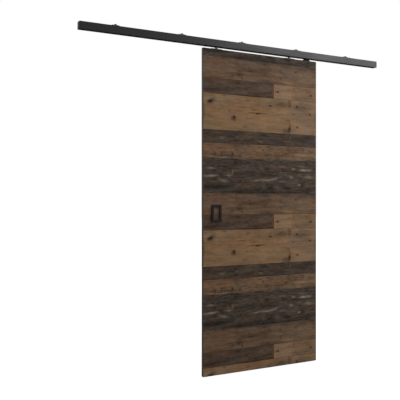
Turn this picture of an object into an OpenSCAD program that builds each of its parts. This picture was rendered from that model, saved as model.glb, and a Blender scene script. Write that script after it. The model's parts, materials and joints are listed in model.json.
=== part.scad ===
// Sliding door leaf hung from a wall-mounted box track.
// Frame: +X to the right seen from the front, +Y into the wall, +Z up. The origin is the
// centre of the middle bracket's screw hole, on the wall plane.

/* [Leaf] */
// Width of the leaf over its edge bands
leaf_w = 880; // [760:1:1000]
// Height of the leaf over its edge bands
leaf_h = 2035; // [1900:1:2200]
// Thickness of the leaf
leaf_t = 19; // [18:0.5:22]
// Thickness of the edge bands
band_t = 1; // [0.6:0.1:2]
// Width of the guide groove in the lower edge
groove_w = 6; // [5:0.5:8]
// Depth of the guide groove
groove_d = 14; // [8:1:18]
// Distance from the middle of the track to the leaf's left edge, with the leaf at rest
leaf_left = 317; // [200:1:400]

/* [Track] */
// Length of the track over its end caps
track_l = 2215; // [2000:1:2500]
// Depth of the track section, front to back
track_d = 38; // [37:0.5:46]
// Height of the track section
track_h = 43; // [39:0.5:50]
// Wall thickness of the track
track_wall = 2.5; // [2:0.1:3]
// Outer corner radius of the track
track_corner_r = 1; // [0.5:0.1:2]
// Width of the slot in the underside
slot_w = 12; // [11:0.5:13]
// Width of each running rib at its foot
rib_w = 6; // [4:0.5:7]
// Height of each running rib
rib_h = 0.8; // [0.4:0.1:1.2]
// Distance from the wall to the back of the track
standoff = 27; // [20:0.5:40]
// Thickness of the end caps
cap_t = 2; // [1.5:0.5:4]
// Length of the end caps' plugs inside the track
plug_l = 14; // [8:1:20]
// Thickness of the plugs
plug_t = 5; // [3:0.5:6]

/* [Nut channel] */
// Width of the channel's neck in the track's roof
neck_w = 7; // [6.5:0.1:8]
// Thickness of the lips beside the neck
lip_t = 2; // [1.5:0.1:3]
// Width of the channel inside
nut_cavity_w = 13; // [12:0.5:15]
// Height of the channel inside
nut_cavity_h = 5; // [4.5:0.1:6]
// Wall of the channel
channel_wall = 2; // [1.5:0.1:2.5]
// Length of a slide nut
slide_nut_l = 20; // [14:1:30]
// Height of a slide nut
slide_nut_h = 4; // [3:0.1:4.2]

/* [Wall brackets] */
// Number of brackets
bracket_count = 5; // [3:1:6]
// Distance of the outer brackets' middles from the track's ends
bracket_end = 237.5; // [150:0.5:350]
// Width of a bracket
bracket_w = 50; // [40:1:70]
// Sheet thickness of a bracket
bracket_t = 3; // [2:0.5:5]
// Inner radius of the bend
bend_r = 3; // [2:0.5:5]
// Height of the wall screw hole above the track
hole_rise = 16; // [14:0.5:24]
// Radius of the wall screw hole
hole_r = 3.25; // [2.5:0.05:4]
// Radius of the ear round the hole
ear_r = 11; // [8:0.5:14]
// Height of the ear's shoulders above the hole
shoulder_rise = 5; // [2:0.5:7]
// Corner radius of the shoulders and of the arm
bracket_corner_r = 4; // [2:0.5:6]
// Reach of the arm past the middle of the track
arm_reach = 8.5; // [8:0.5:17]
// Length of the adjusting slot in the arm
arm_slot_l = 10; // [8:0.5:11]
// Radius of the bracket screws
screw_r = 3; // [2.5:0.1:3.2]
// Radius of the bracket screws' heads
screw_head_r = 5.25; // [4.5:0.05:6]
// Height of the bracket screws' heads
screw_head_h = 3.3; // [2.8:0.1:4]
// Height of the heads' upright rim
screw_rim_h = 1.2; // [0.6:0.1:1.8]
// Radius of the heads' flat top
screw_top_r = 3.4; // [3:0.1:4.2]
// Width across flats of the bracket screws' sockets
screw_socket_af = 4; // [3:0.5:5]
// Depth of the bracket screws' sockets
screw_socket_d = 2.2; // [1.5:0.1:2.4]

/* [Trolleys] */
// Wheel radius
wheel_r = 11.5; // [10:0.1:12.5]
// Wheel width
wheel_w = 7; // [6:0.1:7.5]
// Outer radius of the wheel bearings
bearing_r = 8; // [6.5:0.1:8.5]
// Width of the wheel bearings
bearing_w = 5; // [4:0.1:5]
// Lip that holds the bearing in the wheel
tyre_lip = 0.8; // [0.4:0.1:1]
// Width of the sloped shoulders of a wheel's tread
tyre_shoulder = 1; // [0.4:0.1:1.5]
// Thickness of the bearings' rings
bearing_ring_t = 1.4; // [0.8:0.1:1.5]
// Axle radius
axle_r = 2.5; // [2:0.1:3]
// Half the distance between the axles
axle_dx = 26; // [25.5:0.5:32]
// Height of the axles' rivet heads
axle_head_h = 0.8; // [0.5:0.1:1]
// How far the rivet heads stand out round the axles
axle_head_rim = 1.2; // [0.8:0.1:2]
// Width of the trolley's arms
arm_w = 12.8; // [10:0.1:13]
// Height of the trolley's arms
arm_h = 14; // [10:0.5:18]
// Corner radius of the trolley's arms
arm_corner_r = 4.5; // [2:0.1:4.9]
// Height of the bosses beside the wheels
boss_h = 0.8; // [0.4:0.1:1]
// Wall of the bosses round the axles
boss_wall = 1.5; // [1:0.1:2.5]
// How far the bearings' shields are set back
shield_d = 0.3; // [0.1:0.1:0.8]
// Length of the trolley's middle block
block_l = 25; // [22:0.5:26]
// Width of the middle block
block_w = 26; // [22:0.5:28]
// Height of the middle block
block_h = 18; // [16:0.5:20]
// Corner radius of the middle block
block_corner_r = 2; // [0.5:0.1:4]
// Height of the bolt's seat above the foot of the block
seat_h = 8; // [5:0.5:9]
// How far the trolley's noses stand out past the wheels
nose_l = 2.5; // [1:0.5:10]

/* [Hangers] */
// Gap between the track and the leaf
hang_gap = 14.5; // [14:0.5:24]
// Distance of the left hanger from the leaf's left edge
hanger_left = 100; // [80:1:200]
// Distance of the right hanger from the leaf's right edge
hanger_right = 219; // [200:1:300]
// Radius of the hanger bolts
bolt_r = 5; // [4:0.1:5]
// Radius of the bolts' heads
bolt_head_r = 8; // [7:0.1:9]
// Height of the bolts' heads
bolt_head_h = 8; // [6:0.1:8.5]
// Width across flats of the bolts' sockets
bolt_socket_af = 8; // [6:0.5:10]
// Depth of the bolts' sockets
bolt_socket_d = 5.3; // [3:0.1:5.5]
// Width across flats of the collar and the lock nut
hex_af = 19; // [15:0.5:20]
// Height of the collar on the bolt
collar_h = 5; // [4:0.1:6]
// Height of the lock nut
lock_nut_h = 5; // [4:0.1:6]
// Space between the lock nut and the collar
nut_space = 0.5; // [0.3:0.1:1]
// Length of a hanger plate
plate_l = 76; // [60:1:100]
// Thickness of a hanger plate
plate_t = 3; // [2.5:0.1:4]
// How far a hanger plate stays back from the leaf's faces
plate_inset = 0.5; // [0.3:0.1:2]
// Corner radius of a hanger plate
plate_corner_r = 3; // [1:0.5:6]
// Radius of the threaded boss under a hanger plate
boss_r = 6.5; // [6:0.1:7]
// Length of the threaded boss
boss_l = 12; // [8:0.5:16]
// Depth of the hole for the boss and the bolt's end
leaf_hole_d = 32; // [28:1:45]
// Space left under the bolt's end
bolt_end_gap = 4; // [2:0.5:8]
// Distance of the plate screws from the plate's ends
plate_screw_edge = 10; // [7:0.5:14]

/* [Leaf screws] */
// Radius of the wood screws
wood_screw_r = 2; // [1.5:0.1:2.5]
// Length of the wood screws
wood_screw_l = 30; // [20:1:45]
// Radius of the wood screws' heads
wood_head_r = 4; // [3.2:0.1:4.5]
// Height of the wood screws' heads
wood_head_h = 2.2; // [1.8:0.1:2.4]
// Width across flats of the drive sockets in the wood and pull screws
wood_drive_af = 3.2; // [2:0.1:4]
// Depth of those drive sockets
wood_drive_d = 1.1; // [0.8:0.1:1.5]

/* [Anti-jump block] */
// Distance of the block from the leaf's right edge
jump_edge = 80; // [60:1:110]
// Length of the block at its foot
jump_foot_l = 56; // [44:1:70]
// Length of the block at its top
jump_top_l = 26; // [24:1:40]
// Height of the block's upright foot
jump_foot_h = 2.5; // [1.5:0.1:4]
// Width of the block
jump_w = 16; // [12:0.5:17]
// Space between the block and the track
jump_gap = 3.5; // [2:0.5:6]
// Distance of the block's screws from its middle
jump_screw_dx = 7; // [5.5:0.5:7.5]
// Depth of the sunk heads in the block
jump_sink = 4.5; // [3:0.5:6]

/* [Pulls] */
// Width of a pull
pull_w = 70; // [60:1:100]
// Height of a pull
pull_h = 107; // [100:1:200]
// Width of the pull's bars
pull_bar = 15; // [13:0.5:20]
// How far a pull stands out from the leaf
pull_t = 8; // [7:0.5:16]
// Outer corner radius of a pull
pull_r = 5; // [2:0.5:8]
// Corner radius of the gap inside a pull
pull_inner_r = 2.5; // [1:0.5:6]
// Depth of the finger undercut behind the bars
undercut_d = 5; // [2:0.5:6]
// Height of the finger undercut above the leaf
undercut_t = 4.5; // [3:0.5:5]
// Distance of the pulls' middle from the leaf's left edge
pull_x = 93.5; // [75:0.5:150]
// Height of the pulls' middle above the leaf's lower edge
pull_z = 1010; // [900:1:1150]
// Radius of the pull screws
pull_screw_r = 2; // [1.5:0.1:2.2]
// Depth of the threaded holes in the front pull
pull_thread_d = 6; // [4:0.5:6.5]

/* [Stops] */
// Length of a track stop
stop_l = 30; // [24:1:40]
// Width of a track stop
stop_w = 27; // [22:0.5:29]
// Height of a track stop
stop_h = 20; // [18:0.5:24]
// Radius of the stops' jack screws
jack_r = 3; // [2.5:0.1:4]
// Width across flats of the jack screws' sockets
jack_socket_af = 3; // [2.5:0.5:4]
// Depth of the jack screws' sockets
jack_socket_d = 4; // [3:0.5:6]
// Radius of the rubber buffers
buffer_r = 7; // [5:0.5:8]
// Length of the rubber buffers
buffer_l = 8; // [5:0.5:15]
// Width of the buffers' sloped edge
buffer_edge = 2; // [1:0.5:3]
// Radius of the buffers' stems
stem_r = 3; // [2:0.1:4]
// Length of the buffers' stems
stem_l = 6; // [4:0.5:7]
// Distance of the leaf's edge from the end of the track when the leaf is stopped
end_margin = 14.5; // [5:0.5:60]

/* [Clearances] */
// Radial clearance of pins and screws in their holes
fit = 0.05; // [0.02:0.01:0.08]
// Space under the wheels and at the buffers
roll_gap = 0.3; // [0.2:0.05:0.5]
// Space beside the wheels
side_gap = 0.3; // [0.2:0.05:0.5]
// Slack of plugs, nuts and passing bolts
slack = 0.3; // [0.2:0.05:0.4]

/* [Hidden] */
$fn = 64;
over = 1;

black = [0.09, 0.09, 0.095];
dark_steel = [0.27, 0.27, 0.28];
zinc = [0.55, 0.56, 0.58];
nylon = [0.20, 0.20, 0.21];
rubber = [0.05, 0.05, 0.05];
board_brown = [0.36, 0.29, 0.22];
band_brown = [0.22, 0.18, 0.15];

// Track section, measured from its middle and from its underside
track_y = -(standoff + track_d / 2);
track_top = -hole_rise;
track_z = track_top - track_h;
extrusion_l = track_l - 2 * cap_t;
hollow_w = track_d - 2 * track_wall;
hollow_h = track_h - 2 * track_wall;
rib_top = track_wall + rib_h;
channel_w = nut_cavity_w + 2 * channel_wall;
nut_cavity_z = track_h - lip_t - nut_cavity_h;
channel_z = nut_cavity_z - channel_wall;

// Brackets
bracket_pitch = (track_l - 2 * bracket_end) / (bracket_count - 1);
bend_out_r = bend_r + bracket_t;
ear_top = hole_rise + ear_r;
shoulder_top = hole_rise + shoulder_rise;
bracket_reach = standoff + track_d / 2 + arm_reach;
arm_slot_r = screw_r + slack;
slide_nut_w = nut_cavity_w - 2 * slack;
bracket_screw_l = bracket_t + lip_t + slide_nut_h;

// Trolleys, measured from the track's underside
axle_z = rib_top + roll_gap + wheel_r;
wheel_y = arm_w / 2 + boss_h + side_gap + wheel_w / 2;
axle_half_l = wheel_y + wheel_w / 2 + side_gap + axle_head_h;
axle_head_r = axle_r + axle_head_rim;
wheel_boss_r = axle_r + boss_wall;
trolley_half_l = axle_dx + wheel_r + nose_l;
block_z = axle_z - block_h / 2;
seat_z = block_z + seat_h;

// Leaf and hangers
leaf_top = track_z - hang_gap;
leaf_bottom = leaf_top - leaf_h;
leaf_mid_x = -leaf_left + leaf_w / 2;
core_w = leaf_w - 2 * band_t;
plate_w = leaf_t - 2 * plate_inset;
plate_screw_dx = plate_l / 2 - plate_screw_edge;
plate_top = plate_t - hang_gap;
lock_nut_top = plate_top + lock_nut_h;
collar_z = lock_nut_top + nut_space;
bolt_end = bolt_end_gap - hang_gap - leaf_hole_d;
leaf_hole_r = boss_r + slack;
pilot_r = wood_screw_r + fit;
jump_h = hang_gap - jump_gap;
jump_x = leaf_w - jump_edge - leaf_left;
pull_screw_dz = pull_h / 2 - pull_bar / 2;

// Stops: where the trolleys' noses end their travel
travel_left = track_l / 2 - end_margin - leaf_left;
travel_right = track_l / 2 - end_margin - (leaf_w - leaf_left);
hanger_xs = [hanger_left - leaf_left, leaf_w - hanger_right - leaf_left];
stop_face_left = hanger_xs[0] - trolley_half_l - travel_left - roll_gap;
stop_face_right = hanger_xs[1] + trolley_half_l + travel_right + roll_gap;

// Repeated pieces: name and place, or name and side
HANGERS = [["left", hanger_xs[0]], ["right", hanger_xs[1]]];
AXLES = [["a", -axle_dx], ["b", axle_dx]];
SIDES = [["front", -1], ["rear", 1]];
ENDS = [["left", -1], ["right", 1]];
STOPS = [["left", stop_face_left, -1], ["right", stop_face_right, 1]];
bracket_xs = [for (i = [0 : bracket_count - 1]) (i - (bracket_count - 1) / 2) * bracket_pitch];
screw_xs = [for (h = HANGERS, s = [-1, 1]) h[1] + s * plate_screw_dx];
jump_screw_xs = [for (s = [-1, 1]) jump_x + s * jump_screw_dx];

// Places the children in the track's own section frame
module at_track() {
    translate([0, track_y, track_z]) children();
}

// Extrudes a section drawn in Y and Z along X, centred
module along_x(l) {
    translate([-l / 2, 0, 0]) rotate([90, 0, 90]) linear_extrude(l) children();
}

// Extrudes an outline drawn in X and Z along Y, from the front face back
module along_y(l) {
    translate([0, l, 0]) rotate([90, 0, 0]) linear_extrude(l) children();
}

// Rectangle with round corners, centred on X and standing on the X axis
module round_rect(w, h, r) {
    translate([r - w / 2, 0]) square([w - 2 * r, h]);
    translate([-w / 2, r]) square([w, h - 2 * r]);
    for (x = [r - w / 2, w / 2 - r], y = [r, h - r]) translate([x, y]) circle(r);
}

// The same with only its upper corners round
module round_top(w, h, r) {
    round_rect(w, h, r);
    translate([-w / 2, 0]) square([w, h - r]);
}

// Slot with round ends, along Y
module slot_outline(l, r) {
    translate([-r, r - l / 2]) square([2 * r, l - 2 * r]);
    for (y = [-1, 1]) translate([0, y * (l / 2 - r)]) circle(r);
}

// Six-sided prism by its width across flats
module hex_prism(af, h) {
    cylinder(r = af / 2 / cos(30), h = h, $fn = 6);
}

// Wood screw with a flush countersunk head, its top at z = 0
module countersunk_screw(r, l, head_r, head_h) {
    difference() {
        union() {
            translate([0, 0, -l]) cylinder(r = r, h = l);
            translate([0, 0, -head_h]) cylinder(r1 = r, r2 = head_r, h = head_h);
        }
        translate([0, 0, -wood_drive_d]) hex_prism(wood_drive_af, wood_drive_d + over);
    }
}

// Hole for such a screw, with a clear shank
module countersunk_hole(r, l, head_r, head_h) {
    translate([0, 0, -l]) cylinder(r = r + fit, h = l + over);
    translate([0, 0, -head_h]) cylinder(r1 = r + fit, r2 = head_r + fit, h = head_h);
    cylinder(r = head_r + fit, h = over);
}

// Track: slotted box section with running ribs and a nut channel in its roof
module track_section() {
    difference() {
        union() {
            difference() {
                round_rect(track_d, track_h, track_corner_r);
                translate([-hollow_w / 2, track_wall]) square([hollow_w, hollow_h]);
            }
            translate([-channel_w / 2, channel_z]) square([channel_w, track_h - track_corner_r - channel_z]);
            for (side = [-1, 1]) translate([side * wheel_y, track_wall]) rib_section();
        }
        translate([-slot_w / 2, -over]) square([slot_w, track_wall + 2 * over]);
        translate([-nut_cavity_w / 2, nut_cavity_z]) square([nut_cavity_w, nut_cavity_h]);
        translate([-neck_w / 2, nut_cavity_z]) square([neck_w, nut_cavity_h + lip_t + over]);
    }
}

// Running rib with sloped flanks
module rib_section() {
    polygon([[-rib_w / 2, -track_wall / 2], [rib_w / 2, -track_wall / 2], [rib_w / 2, 0],
             [rib_w / 2 - rib_h, rib_h], [rib_h - rib_w / 2, rib_h], [-rib_w / 2, 0]]);
}

module track_rail() {
    color(black) at_track() along_x(extrusion_l) track_section();
}

// End cap: a plate over the section with two plugs inside the side walls
module end_cap(side) {
    plug_y = hollow_w / 2 - slack - plug_t;
    plug_z = rib_top + slack;
    plug_h = track_wall + hollow_h - slack - plug_z;
    color(black) at_track() {
        translate([side * (track_l - cap_t) / 2, 0, 0])
            along_x(cap_t) round_rect(track_d, track_h, track_corner_r);
        for (s = [-1, 1])
            translate([side * (extrusion_l - plug_l) / 2, s * (plug_y + plug_t / 2), plug_z])
                along_x(plug_l) round_rect(plug_t, plug_h, track_corner_r);
    }
}

// Side view of the folded bracket: Y from the wall, Z from the top of the track
module bracket_side() {
    translate([-bracket_t, bend_out_r]) square([bracket_t, ear_top - bend_out_r]);
    translate([-bracket_reach, 0]) square([bracket_reach - bend_out_r, bracket_t]);
    intersection() {
        translate([-bend_out_r, bend_out_r]) difference() {
            circle(bend_out_r);
            circle(bend_r);
        }
        translate([-bend_out_r, 0]) square(bend_out_r);
    }
}

// Front view of the bracket: shoulders with a round ear about the screw hole
module bracket_front() {
    round_top(bracket_w, shoulder_top, bracket_corner_r);
    translate([0, hole_rise]) circle(ear_r);
}

// Plan of the bracket, with round corners at the arm's end
module bracket_plan() {
    mirror([0, 1]) round_top(bracket_w, bracket_reach, bracket_corner_r);
}

module wall_bracket(x) {
    color(black) translate([x, 0, track_top]) difference() {
        intersection() {
            along_x(bracket_w) bracket_side();
            translate([0, -bracket_reach, 0]) along_y(bracket_reach) bracket_front();
            linear_extrude(ear_top) bracket_plan();
        }
        translate([0, -bracket_t - over, hole_rise]) rotate([-90, 0, 0])
            cylinder(r = hole_r, h = bracket_t + 2 * over);
        translate([0, track_y, -over]) linear_extrude(bracket_t + 2 * over)
            slot_outline(arm_slot_l, arm_slot_r);
    }
}

// Button-head screw from the arm down into its slide nut
module bracket_screw() {
    difference() {
        union() {
            translate([0, 0, -bracket_screw_l]) cylinder(r = screw_r, h = bracket_screw_l);
            cylinder(r = screw_head_r, h = screw_rim_h);
            translate([0, 0, screw_rim_h])
                cylinder(r1 = screw_head_r, r2 = screw_top_r, h = screw_head_h - screw_rim_h);
        }
        translate([0, 0, screw_head_h - screw_socket_d])
            hex_prism(screw_socket_af, screw_socket_d + over);
    }
}

module bracket_screws() {
    color(dark_steel) for (x = bracket_xs)
        translate([x, track_y, track_top + bracket_t]) bracket_screw();
}

module slide_nuts() {
    color(zinc) for (x = bracket_xs) translate([x, track_y, track_top - lip_t - slide_nut_h])
        difference() {
            translate([-slide_nut_l / 2, -slide_nut_w / 2, 0]) cube([slide_nut_l, slide_nut_w, slide_nut_h]);
            translate([0, 0, -over]) cylinder(r = screw_r + fit, h = slide_nut_h + 2 * over);
        }
}

// Track stop: a block on the ribs, jacked against the nut channel by its screw
module track_stop(face_x, side) {
    mid_x = face_x + side * (buffer_l + stop_l / 2);
    color(dark_steel) at_track() translate([mid_x, 0, 0]) difference() {
        translate([0, 0, rib_top]) along_x(stop_l) round_rect(stop_w, stop_h, track_corner_r);
        cylinder(r = jack_r + fit, h = track_h);
        translate([-side * (stop_l / 2 + over), 0, axle_z]) rotate([0, side * 90, 0])
            cylinder(r = stem_r + fit, h = stem_l + slack + over);
    }
}

// Rubber buffer with its stem, facing the trolley
module stop_buffer(face_x, side) {
    color(rubber) at_track() translate([face_x, 0, axle_z]) rotate([0, side * 90, 0]) {
        cylinder(r1 = buffer_r - buffer_edge, r2 = buffer_r, h = buffer_edge);
        translate([0, 0, buffer_edge]) cylinder(r = buffer_r, h = buffer_l - buffer_edge);
        translate([0, 0, buffer_l]) cylinder(r = stem_r, h = stem_l);
    }
}

// Socket set screw, driven from below through the slot
module stop_screw(face_x, side) {
    foot_z = rib_top + slack;
    color(zinc) at_track() translate([face_x + side * (buffer_l + stop_l / 2), 0, foot_z]) difference() {
        cylinder(r = jack_r, h = channel_z - foot_z);
        translate([0, 0, -over]) hex_prism(jack_socket_af, jack_socket_d + over);
    }
}

// Everything drilled into the leaf, cut from the board and its bands alike
module leaf_holes() {
    for (h = HANGERS)
        translate([h[1], track_y, leaf_top - leaf_hole_d]) cylinder(r = leaf_hole_r, h = leaf_hole_d + over);
    for (x = screw_xs)
        translate([x, track_y, leaf_top + plate_t - wood_screw_l - slack])
            cylinder(r = pilot_r, h = wood_screw_l + slack);
    for (x = jump_screw_xs)
        translate([x, track_y, leaf_top + jump_h - jump_sink - wood_screw_l - slack])
            cylinder(r = pilot_r, h = wood_screw_l + slack);
    for (s = [-1, 1])
        translate([pull_x - leaf_left, track_y - leaf_t / 2 - over, leaf_bottom + pull_z + s * pull_screw_dz])
            rotate([-90, 0, 0]) cylinder(r = pull_screw_r + fit, h = leaf_t + 2 * over);
    translate([leaf_mid_x - leaf_w / 2 - over, track_y - groove_w / 2, leaf_bottom - over])
        cube([leaf_w + 2 * over, groove_w, groove_d + over]);
}

// Upright slab of the leaf's thickness, between two heights, less the holes
module leaf_slab(x0, x1, z0, z1) {
    difference() {
        translate([x0, track_y - leaf_t / 2, z0]) cube([x1 - x0, leaf_t, z1 - z0]);
        leaf_holes();
    }
}

module door_leaf() {
    color(board_brown) leaf_slab(leaf_mid_x - core_w / 2, leaf_mid_x + core_w / 2,
                                 leaf_bottom + band_t, leaf_top - band_t);
}

module edge_band_side(side) {
    inner = leaf_mid_x + side * core_w / 2;
    outer = leaf_mid_x + side * leaf_w / 2;
    color(band_brown) leaf_slab(min(inner, outer), max(inner, outer), leaf_bottom, leaf_top);
}

module edge_band_top() {
    color(band_brown) leaf_slab(leaf_mid_x - core_w / 2, leaf_mid_x + core_w / 2,
                                leaf_top - band_t, leaf_top);
}

module edge_band_bottom() {
    color(band_brown) leaf_slab(leaf_mid_x - core_w / 2, leaf_mid_x + core_w / 2,
                                leaf_bottom, leaf_bottom + band_t);
}

// Open rectangular pull: a frame whose bars are undercut behind for the fingers.
// Drawn standing on the plane y = 0, towards -Y.
module pull_frame() {
    gap_w = pull_w - 2 * pull_bar;
    gap_h = pull_h - 2 * pull_bar;
    under_w = gap_w + 2 * undercut_d;
    difference() {
        translate([0, -pull_t, -pull_h / 2]) along_y(pull_t) round_rect(pull_w, pull_h, pull_r);
        translate([0, -pull_t - over, -gap_h / 2])
            along_y(pull_t + 2 * over) round_rect(gap_w, gap_h, pull_inner_r);
        translate([0, -undercut_t, -gap_h / 2])
            along_y(undercut_t + over) round_rect(under_w, gap_h, pull_inner_r);
    }
}

module pull_front() {
    color(black) translate([pull_x - leaf_left, track_y - leaf_t / 2, leaf_bottom + pull_z]) difference() {
        pull_frame();
        for (s = [-1, 1]) translate([0, -pull_thread_d, s * pull_screw_dz])
            rotate([-90, 0, 0]) cylinder(r = pull_screw_r + fit, h = pull_thread_d + over);
    }
}

module pull_rear() {
    color(black) translate([pull_x - leaf_left, track_y + leaf_t / 2, leaf_bottom + pull_z]) difference() {
        mirror([0, 1, 0]) pull_frame();
        for (s = [-1, 1]) translate([0, pull_t, s * pull_screw_dz]) rotate([-90, 0, 0])
            countersunk_hole(pull_screw_r, pull_t + over, wood_head_r, wood_head_h);
    }
}

module pull_screws() {
    screw_l = pull_t + leaf_t + pull_thread_d - slack;
    color(zinc) for (s = [-1, 1])
        translate([pull_x - leaf_left, track_y + leaf_t / 2 + pull_t,
                   leaf_bottom + pull_z + s * pull_screw_dz])
            rotate([-90, 0, 0]) countersunk_screw(pull_screw_r, screw_l, wood_head_r, wood_head_h);
}

// Hanger plate on the leaf's top edge, with a threaded boss let into the board
module hanger_plate(x) {
    color(dark_steel) at_track() translate([x, 0, -hang_gap]) difference() {
        union() {
            linear_extrude(plate_t) translate([0, -plate_w / 2]) round_rect(plate_l, plate_w, plate_corner_r);
            translate([0, 0, -boss_l]) cylinder(r = boss_r, h = boss_l + plate_t / 2);
        }
        translate([0, 0, -boss_l - over]) cylinder(r = bolt_r + fit, h = boss_l + plate_t + 2 * over);
        for (s = [-1, 1]) translate([s * plate_screw_dx, 0, plate_t])
            countersunk_hole(wood_screw_r, plate_t + over, wood_head_r, wood_head_h);
    }
}

module hanger_plate_screws() {
    color(zinc) for (x = screw_xs) translate([x, track_y, leaf_top + plate_t])
        countersunk_screw(wood_screw_r, wood_screw_l, wood_head_r, wood_head_h);
}

// Hanger bolt: head in the trolley, collar for the spanner, thread down into the plate
module hanger_bolt(x) {
    color(dark_steel) at_track() translate([x, 0, 0]) difference() {
        union() {
            translate([0, 0, seat_z]) cylinder(r = bolt_head_r, h = bolt_head_h);
            translate([0, 0, bolt_end]) cylinder(r = bolt_r, h = seat_z - bolt_end);
            translate([0, 0, collar_z]) hex_prism(hex_af, collar_h);
        }
        translate([0, 0, seat_z + bolt_head_h - bolt_socket_d])
            hex_prism(bolt_socket_af, bolt_socket_d + over);
    }
}

module lock_nut(x) {
    color(dark_steel) at_track() translate([x, 0, plate_top]) difference() {
        hex_prism(hex_af, lock_nut_h);
        translate([0, 0, -over]) cylinder(r = bolt_r + fit, h = lock_nut_h + 2 * over);
    }
}

// Trolley: a block for the bolt and two arms with axle bosses and bumper noses
module trolley_body(x) {
    color(zinc) at_track() translate([x, 0, 0]) difference() {
        union() {
            translate([0, 0, block_z]) along_x(block_l) round_rect(block_w, block_h, block_corner_r);
            translate([0, -arm_w / 2, axle_z - arm_h / 2])
                along_y(arm_w) round_rect(2 * trolley_half_l, arm_h, arm_corner_r);
            for (a = AXLES) translate([a[1], -arm_w / 2 - boss_h, axle_z])
                rotate([-90, 0, 0]) cylinder(r = wheel_boss_r, h = arm_w + 2 * boss_h);
        }
        translate([0, 0, block_z - over]) cylinder(r = bolt_r + slack, h = block_h + 2 * over);
        translate([0, 0, seat_z]) cylinder(r = bolt_head_r + slack, h = block_h);
        for (a = AXLES) translate([a[1], -track_d / 2, axle_z])
            rotate([-90, 0, 0]) cylinder(r = axle_r + fit, h = track_d);
    }
}

module axle(x) {
    color(zinc) at_track() translate([x, 0, axle_z]) rotate([-90, 0, 0]) {
        translate([0, 0, -axle_half_l]) cylinder(r = axle_r, h = 2 * axle_half_l);
        translate([0, 0, -axle_half_l]) cylinder(r = axle_head_r, h = axle_head_h);
        translate([0, 0, axle_half_l - axle_head_h]) cylinder(r = axle_head_r, h = axle_head_h);
    }
}

// Turns a half section about a wheel's axis, its inner side towards the trolley
module on_axle(x, side) {
    at_track() translate([x, side * wheel_y, axle_z]) rotate([-side * 90, 0, 0])
        rotate_extrude() children();
}

// Wheel: tyre with rounded shoulders, bored for its bearing, with a lip that holds it
module wheel(x, side) {
    half = wheel_w / 2;
    seat = half - (wheel_w - bearing_w) / 2;
    bore_r = bearing_r + fit / 2;
    color(nylon) on_axle(x, side) polygon([
        [bore_r, -half], [wheel_r - tyre_shoulder, -half], [wheel_r, tyre_shoulder - half],
        [wheel_r, half - tyre_shoulder], [wheel_r - tyre_shoulder, half],
        [bore_r - tyre_lip, half], [bore_r - tyre_lip, seat], [bore_r, seat]]);
}

// Sealed ball bearing: two rings with the shields set back between them
module bearing(x, side) {
    half = bearing_w / 2;
    bore_r = axle_r + fit;
    inner_r = bore_r + bearing_ring_t;
    outer_r = bearing_r - bearing_ring_t;
    shield = half - shield_d;
    color(zinc) on_axle(x, side) polygon([
        [bore_r, -half], [inner_r, -half], [inner_r, -shield],
        [outer_r, -shield], [outer_r, -half], [bearing_r, -half],
        [bearing_r, half], [outer_r, half], [outer_r, shield],
        [inner_r, shield], [inner_r, half], [bore_r, half]]);
}

// Anti-jump block with ramped ends and sunk screw heads
module anti_jump_block() {
    foot = jump_foot_l / 2;
    top = jump_top_l / 2;
    color(black) translate([jump_x, track_y - jump_w / 2, leaf_top]) difference() {
        along_y(jump_w) polygon([[-foot, 0], [foot, 0], [foot, jump_foot_h],
                                 [top, jump_h], [-top, jump_h], [-foot, jump_foot_h]]);
        for (s = [-1, 1]) translate([s * jump_screw_dx, jump_w / 2, 0]) {
            translate([0, 0, -over]) cylinder(r = wood_screw_r + fit, h = jump_h + 2 * over);
            translate([0, 0, jump_h - jump_sink])
                countersunk_hole(wood_screw_r, wood_head_h, wood_head_r, wood_head_h);
            translate([0, 0, jump_h - jump_sink]) cylinder(r = wood_head_r + fit, h = jump_sink + over);
        }
    }
}

module anti_jump_screws() {
    color(zinc) for (x = jump_screw_xs) translate([x, track_y, leaf_top + jump_h - jump_sink])
        countersunk_screw(wood_screw_r, wood_screw_l, wood_head_r, wood_head_h);
}

track_rail();
for (e = ENDS) end_cap(e[1]);
for (i = [1 : bracket_count])
    wall_bracket(bracket_xs[i - 1]);
bracket_screws();
slide_nuts();
for (s = STOPS) {
    track_stop(s[1], s[2]);
    stop_buffer(s[1], s[2]);
    stop_screw(s[1], s[2]);
}
door_leaf();
for (e = ENDS) edge_band_side(e[1]);
edge_band_top();
edge_band_bottom();
pull_front();
pull_rear();
pull_screws();
for (h = HANGERS) {
    hanger_plate(h[1]);
    hanger_bolt(h[1]);
    lock_nut(h[1]);
    trolley_body(h[1]);
}
hanger_plate_screws();
anti_jump_block();
anti_jump_screws();
for (h = HANGERS, a = AXLES) {
    axle(h[1] + a[1]);
    for (s = SIDES) {
        wheel(h[1] + a[1], s[1]);
        bearing(h[1] + a[1], s[1]);
    }
}
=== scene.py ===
"""Finishes a sliding barn door on its wall track and sets it in a plain studio.

Lengths are in metres, in the door's own frame: +X along the track, +Y into the wall and +Z up.
Sizes of the plank print are in millimetres from the upper left corner of the leaf.
"""

import json
import logging
import math
from contextlib import contextmanager
from dataclasses import dataclass
from enum import Enum
from typing import Callable, ClassVar, Iterator, Union

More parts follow.
